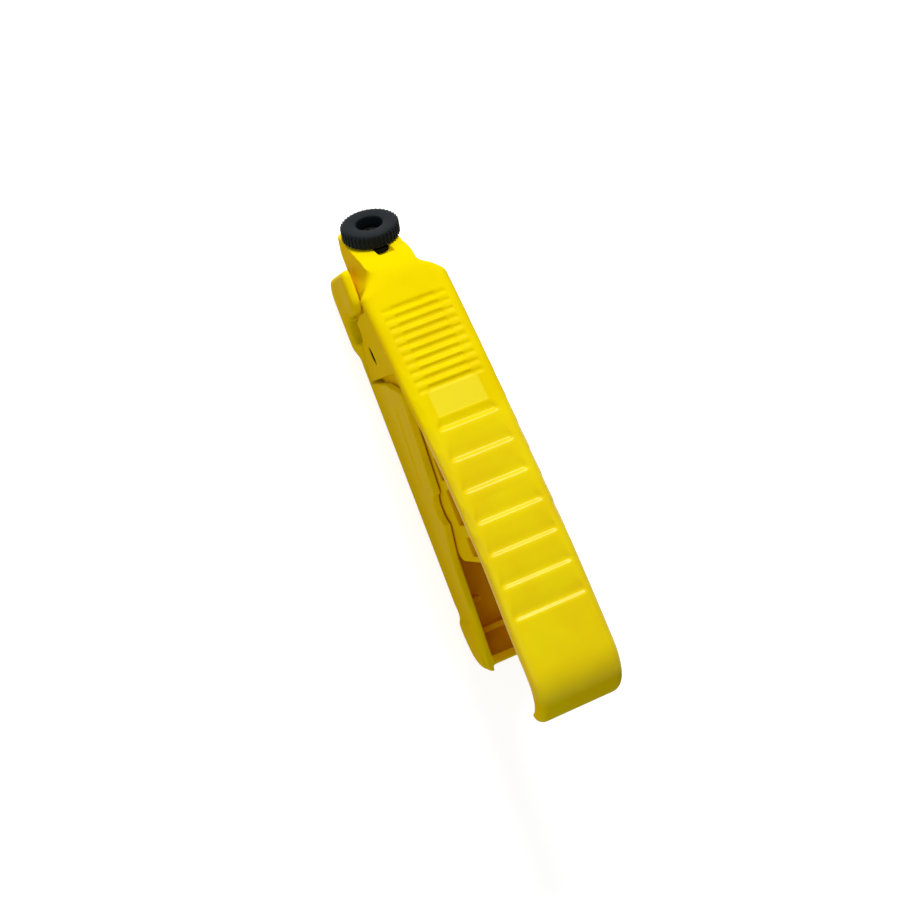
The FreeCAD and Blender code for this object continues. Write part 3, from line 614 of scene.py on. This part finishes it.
COLLAR = [(2.95, -3.4), (4.9, -3.4), (5.2, -3.1), (5.2, -1.85)]
KEY_GROOVE = [(4.2, -1.85), (4.2, -0.45), (5.2, -0.45), (5.2, 0.3)]
RIM_LOW = [(6.9, 0.3), (7.15, 0.4), (7.28, 0.65), (7.3, 1.0)]
RIM_TOP = [(7.3, 3.3), (7.28, 3.55), (7.2, 3.75), (7.05, 3.9), (6.8, 3.98), (6.4, 4.0)]
BORE = [(3.9, 4.0), (3.68, 3.93), (3.55, 3.8), (3.5, 3.55), (3.5, 0.6), (2.95, 0.6)]
KNOB_SECTION = COLLAR + KEY_GROOVE + RIM_LOW + RIM_TOP + BORE
KNOB_STEPS = 120
KNOB_CREASE = math.radians(40)
RIBS = 40
RIB_CIRCLE = 7.3
RIB_RADIUS = 0.29
RIB_SIDES = 10
RIB_HEIGHT = 3.1
RIB_MIDDLE = 2.15


def build_knob(material):
    """Lathed ring and collar with ribs round the rim."""
    bm = bmesh.new()
    turns = []
    for step in range(KNOB_STEPS):
        angle = math.tau * step / KNOB_STEPS
        turns.append([bm.verts.new((radius * math.cos(angle), radius * math.sin(angle), height))
                      for radius, height in KNOB_SECTION])
    for turn, after in zip(turns, turns[1:] + turns[:1]):
        for low in range(len(KNOB_SECTION)):
            high = (low + 1) % len(KNOB_SECTION)
            bm.faces.new((turn[low], after[low], after[high], turn[high]))
    ribs = knurl_tree().grow(bpy.data.meshes.new("knurl"), count=RIBS, circle=RIB_CIRCLE, radius=RIB_RADIUS,
                             height=RIB_HEIGHT, lift=RIB_MIDDLE, material=material)
    bm.from_mesh(ribs)
    bm.transform(knob_stand())
    bmesh.ops.recalc_face_normals(bm, faces=bm.faces)
    mesh = bpy.data.meshes.new("ribbed_knob")
    bm.to_mesh(mesh)
    bm.free()
    piece = add_piece("ribbed_knob", mesh, "knob", "black_knob", material, "depth_knob")
    piece.data.set_sharp_from_angle(angle=KNOB_CREASE)


def knob_stand():
    """Takes a piece that stands upright at the origin, in millimetres, to the knob's seat."""
    side = Vector((0, 1, 0))
    stand = Matrix((KNOB_AXIS.cross(side), side, KNOB_AXIS)).transposed().to_4x4()
    stand.translation = SEAT
    return Matrix.Scale(MM, 4) @ stand


def knurl_tree():
    growth = Growth("knurl_ring", count="NodeSocketInt", circle="NodeSocketFloat", radius="NodeSocketFloat",
                    height="NodeSocketFloat", lift="NodeSocketFloat", material="NodeSocketMaterial")
    inputs = growth.inputs
    ring = growth.node("GeometryNodeMeshCircle", Vertices=inputs["count"], Radius=inputs["circle"])
    rib = growth.node("GeometryNodeMeshCylinder", Vertices=RIB_SIDES, Radius=inputs["radius"],
                      Depth=inputs["height"])
    raised = growth.node("ShaderNodeCombineXYZ", Z=inputs["lift"])
    lifted = growth.node("GeometryNodeTransform", Geometry=rib.outputs["Mesh"],
                         Translation=raised.outputs[0])
    ribs = growth.node("GeometryNodeInstanceOnPoints", Points=ring.outputs["Mesh"],
                       Instance=lifted.outputs["Geometry"])
    growth.end(ribs.outputs[0])
    return growth


# Spring

COIL_RADIUS = 4.7
COIL_PITCH = 1.6
COIL_TURNS = 3
COIL_STEP = math.radians(7.5)
WIRE_RADIUS = 0.7
WIRE_SIDES = 14
LEG_END_X = -54.0
LAP_ANGLE = math.radians(25)
LAP_STEPS = 4
LAP_THINNING = 0.93


def spring_paths():
    """Paths of the wire: the coil with its floor leg, and the pad leg with a short lap in the coil."""
    low, high = [Vector(corner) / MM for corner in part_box("torsion_spring")]
    legs = []
    for end_z, side in ((high.z - WIRE_RADIUS, -1), (low.z + WIRE_RADIUS, 1)):
        arm = Vector((LEG_END_X, 0, end_z)) - PIVOT
        legs.append((math.atan2(arm.z, arm.x) + side * math.acos(COIL_RADIUS / arm.length),
                     math.sqrt(arm.length ** 2 - COIL_RADIUS ** 2)))
    (pad_angle, pad_leg), (floor_angle, floor_leg) = legs
    turn = (pad_angle - floor_angle) % math.tau + math.tau * COIL_TURNS
    floor_y = high.y - WIRE_RADIUS

    def on_coil(gone):
        angle = floor_angle + turn - gone
        y = floor_y - COIL_PITCH * (turn - gone) / math.tau
        return PIVOT + Vector((COIL_RADIUS * math.cos(angle), y, COIL_RADIUS * math.sin(angle)))

    def onward(gone, climb):
        angle = floor_angle + turn - gone
        return Vector((math.sin(angle), climb, -math.cos(angle)))

    coil = [on_coil(min(COIL_STEP * number, turn)) for number in range(int(turn / COIL_STEP) + 2)]
    climb = COIL_PITCH / (math.tau * COIL_RADIUS)
    floor_tip = coil[-1] + onward(turn, 0) * floor_leg
    pad_tip = coil[0] - onward(0, climb) * pad_leg
    lap = [on_coil(LAP_ANGLE * number / LAP_STEPS) for number in range(1, LAP_STEPS + 1)]
    return coil + [floor_tip], [pad_tip, coil[0]] + lap


def build_spring(material):
    """Round wire: the coil and floor leg stay with the rear arm, the pad leg follows the front arm."""
    coil, pad_leg = spring_paths()
    growth = wire_tree()
    for name, body, points, thin, nodes in (("spring_coil", "base", coil, 0, ("torsion_spring",)),
                                            ("spring_pad_leg", "lever", pad_leg, LAP_STEPS, ())):
        mesh = growth.grow(wire_path(name, points, thin), wire=WIRE_RADIUS * MM, material=material)
        add_piece(name, mesh, body, "spring_steel", material, *nodes)


def wire_path(name, points, thin):
    """A curve through the points. The last few, which lie in another wire, are drawn thinner."""
    curve = bpy.data.curves.new(name, "CURVE")
    curve.dimensions = "3D"
    line = curve.splines.new("POLY")
    line.points.add(len(points) - 1)
    for number, (point, spot) in enumerate(zip(line.points, points)):
        point.co = (*(spot * MM), 1)
        point.radius = LAP_THINNING if number >= len(points) - thin else 1
    return curve


def wire_tree():
    growth = Growth("wire_on_path", wire="NodeSocketFloat", material="NodeSocketMaterial")
    section = growth.node("GeometryNodeCurvePrimitiveCircle", Resolution=WIRE_SIDES,
                          Radius=growth.inputs["wire"])
    swept = growth.node("GeometryNodeCurveToMesh", Curve=growth.inputs["Geometry"],
                        Profile_Curve=section.outputs["Curve"], Fill_Caps=True)
    growth.end(swept.outputs[0])
    return growth


# Floor, light and camera

FLOOR_GAP = 0.02
FLOOR_HALF = 1500.0
LIT_PLACE = Vector((-40, 0, 20))
KEY_AWAY = Vector((780, -160, 550))
FILL_AWAY = Vector((-160, 600, 580))
WORLD_STRENGTH = 0.2
CAMERA_PLACE = Vector((-12.917, 107.583, 417.427))
CAMERA_DEGREES = (2.2818, -14.7836, -111.5894)
CAMERA_LENS = 65.59
CAMERA_SENSOR = 36


def build_stage():
    z = CAD_BOX[0][2] - FLOOR_GAP * MM
    half = FLOOR_HALF * MM
    mesh = bpy.data.meshes.new("floor")
    mesh.from_pydata([(-half, -half, z), (half, -half, z), (half, half, z), (-half, half, z)], [],
                     [(0, 1, 2, 3)])
    floor = bpy.data.objects.new("floor", mesh)
    bpy.context.scene.collection.objects.link(floor)
    mesh.materials.append(stage_white())


def build_lamp(name, away, size, watts):
    """A square lamp at an offset from the lit place, which it faces."""
    data = bpy.data.lights.new(name, "AREA")
    data.energy = watts
    data.size = size * MM
    lamp = bpy.data.objects.new(name, data)
    lamp.location = (LIT_PLACE + away) * MM
    lamp.rotation_euler = (-away).to_track_quat("-Z", "Y").to_euler()
    bpy.context.scene.collection.objects.link(lamp)


def build_light():
    build_lamp("key", KEY_AWAY, size=280, watts=7.6)
    build_lamp("fill", FILL_AWAY, size=800, watts=1.9)
    world = bpy.data.worlds.new("studio")
    bpy.context.scene.world = world
    world.use_nodes = True
    sky = Tree(world.node_tree)
    dim = sky.tree.nodes["Background"]
    sky.fill(dim, {"Color": WHITE, "Strength": WORLD_STRENGTH})
    sky.show("World Output", dim, sky.node("ShaderNodeBackground", Color=WHITE, Strength=1.0))


def build_camera():
    data = bpy.data.cameras.new("camera")
    data.sensor_width = CAMERA_SENSOR
    data.lens = CAMERA_LENS
    camera = bpy.data.objects.new("camera", data)
    camera.location = CAMERA_PLACE * MM
    camera.rotation_euler = [math.radians(angle) for angle in CAMERA_DEGREES]
    bpy.context.scene.collection.objects.link(camera)
    bpy.context.scene.camera = camera


# The tool

def build_tool():
    """Every piece with its finish. The nodes that are painted here are shown as the solids they are."""
    front = yellow_plastic("yellow_pad_plastic", shade_under_pad, pad_polish, matt_and_lit=pad_panel, slot_painted_shade=slim_slot)
    rear = yellow_plastic("yellow_plastic", shade_in_trough, rim_polish)
    black = black_plastic()
    bright = steel("bright_steel", light=(0.72, 0.72, 0.70, 1), dark=(0.5, 0.5, 0.49, 1), brushed=(1, 8, 1),
                   rough=0.22)
    wire = steel("spring_steel", light=(0.60, 0.60, 0.61, 1), dark=(0.40, 0.40, 0.41, 1), brushed=(8, 1, 1),
                 rough=0.25)
    ground = steel("blade_steel", light=(0.78, 0.79, 0.80, 1), dark=(0.60, 0.61, 0.62, 1),
                   brushed=(1, 1, 10), rough=0.16)
    dark = steel("dark_steel", light=(0.08, 0.08, 0.085, 1), dark=(0.04, 0.04, 0.045, 1), brushed=(1, 1, 8),
                 rough=0.35)
    build_shell("front_shell", "front_arm", "lever", front, front_inset, FRONT_SOFTER)
    build_shell("rear_shell", "rear_arm", "base", rear, side_band, REAR_SOFTER)
    build_knob(black)
    build_spring(wire)
    for material, nodes in ((black, ("knob_key",)), (dark, ("stop_screw",)),
                            (bright, ("pivot_pin", "blade_clamp", "blade_screws")),
                            (ground, ("strip_blade", "cutoff_blade"))):
        for node in nodes:
            paint(node, material)


bpy.context.scene.view_settings.view_transform = "Standard"
build_tool()
build_stage()
build_light()
build_camera()
